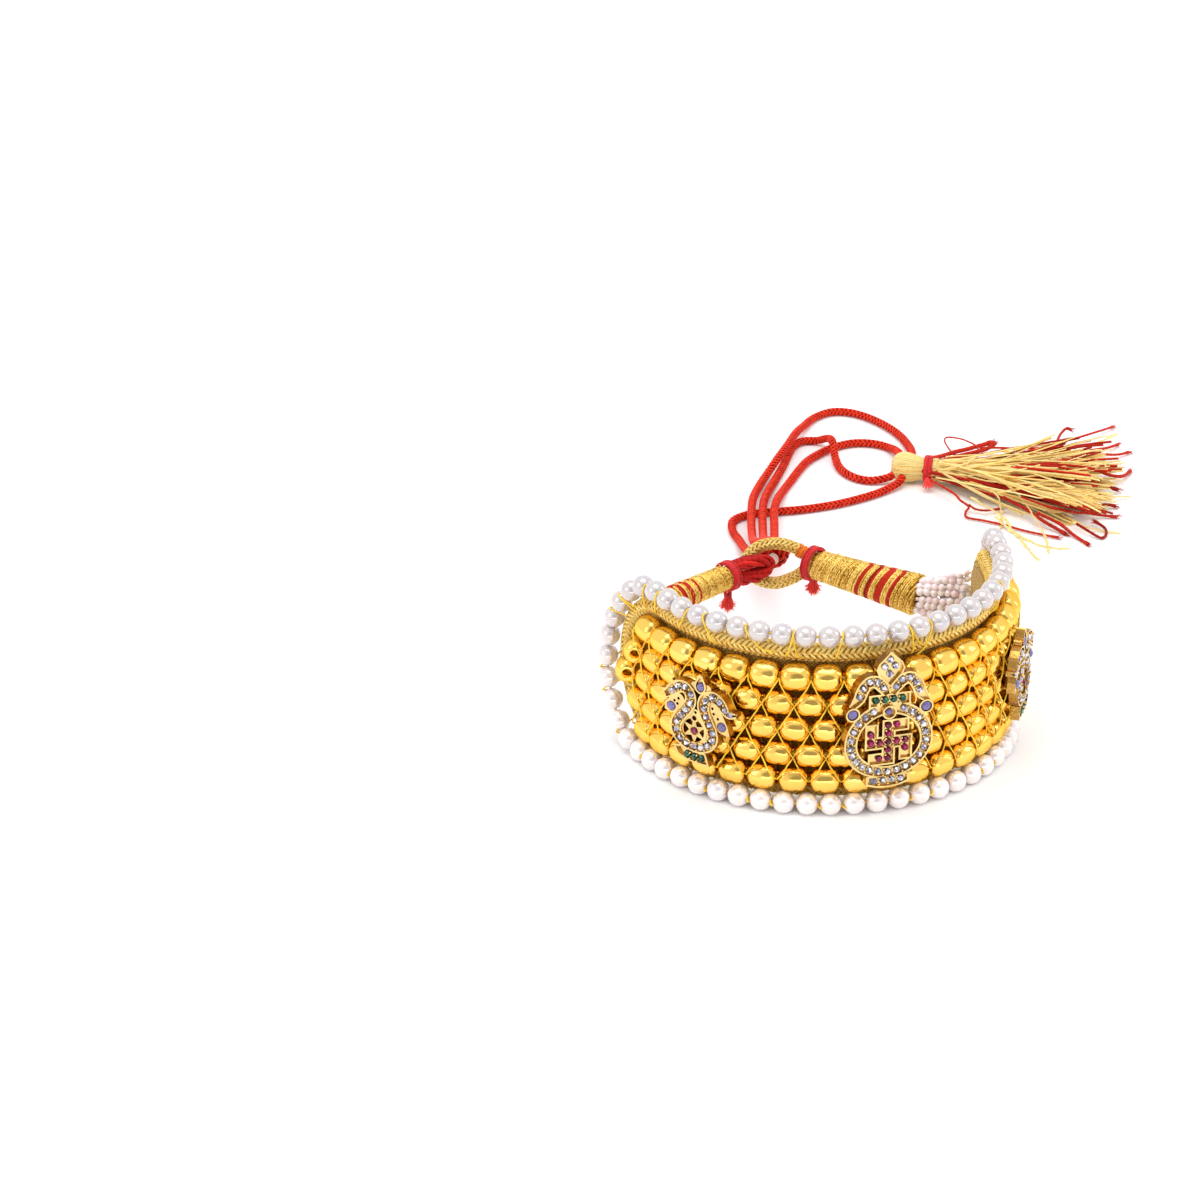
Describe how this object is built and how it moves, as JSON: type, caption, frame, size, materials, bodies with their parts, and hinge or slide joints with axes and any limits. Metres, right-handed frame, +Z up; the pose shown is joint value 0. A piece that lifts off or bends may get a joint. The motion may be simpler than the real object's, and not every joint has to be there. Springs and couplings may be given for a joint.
{
  "type": "pochi bracelet",
  "caption": "Beaded cloth wrist band with stone-set plaques, pearl edging, wound tails, a loop closure and tasselled drawcords.",
  "frame": {"origin": "on the surface that the bracelet stands on, below the middle of the band and its closure", "axes": "+X from the band's left end to its right end, -Y out through the centre plaque, +Z up along the wrist"},
  "size_m": [0.1241, 0.1559, 0.0309],
  "materials": {
    "gold_bead": "polished plated metal",
    "plaque_metal": "pale polished metal",
    "zari_cloth": "braided metallic thread",
    "gold_thread": "sewing thread",
    "pearl": "pearl lustre",
    "ruby_stone": "cut and polished",
    "green_stone": "cut and polished",
    "purple_stone": "cut and polished",
    "clear_stone": "cut and polished",
    "red_cord": "braided silky cord",
    "red_thread": "silky thread",
    "yellow_thread": "silky thread"
  },
  "bodies": {
    "root": {"band_backing": "zari_cloth", "edge_piping": "zari_cloth", "bead_row_1": "gold_bead", "bead_row_2": "gold_bead", "bead_row_3": "gold_bead", "bead_row_4": "gold_bead", "bead_row_5": "gold_bead", "row_threads": "gold_thread", "pearls_top": "pearl", "pearls_bottom": "pearl", "pearl_thread": "gold_thread", "centre_plaque": "plaque_metal", "peacock_left": "plaque_metal", "peacock_right": "plaque_metal", "ruby_stones": "ruby_stone", "green_stones": "green_stone", "purple_stones": "purple_stone", "clear_stones": "clear_stone", "seed_strands_left": "pearl", "seed_strands_right": "pearl", "tail_left": "zari_cloth", "tail_right": "zari_cloth", "tie_left": "red_thread", "tie_right": "red_thread", "closure_loop": "zari_cloth", "thread_loop": "red_thread", "cord_hitch": "red_cord", "drawcord_a": "red_cord", "drawcord_b": "red_cord", "drawcord_c": "red_cord", "drawcord_d": "red_cord", "tassel": "yellow_thread", "tassel_wrap": "red_thread"}
  },
  "joints": []
}
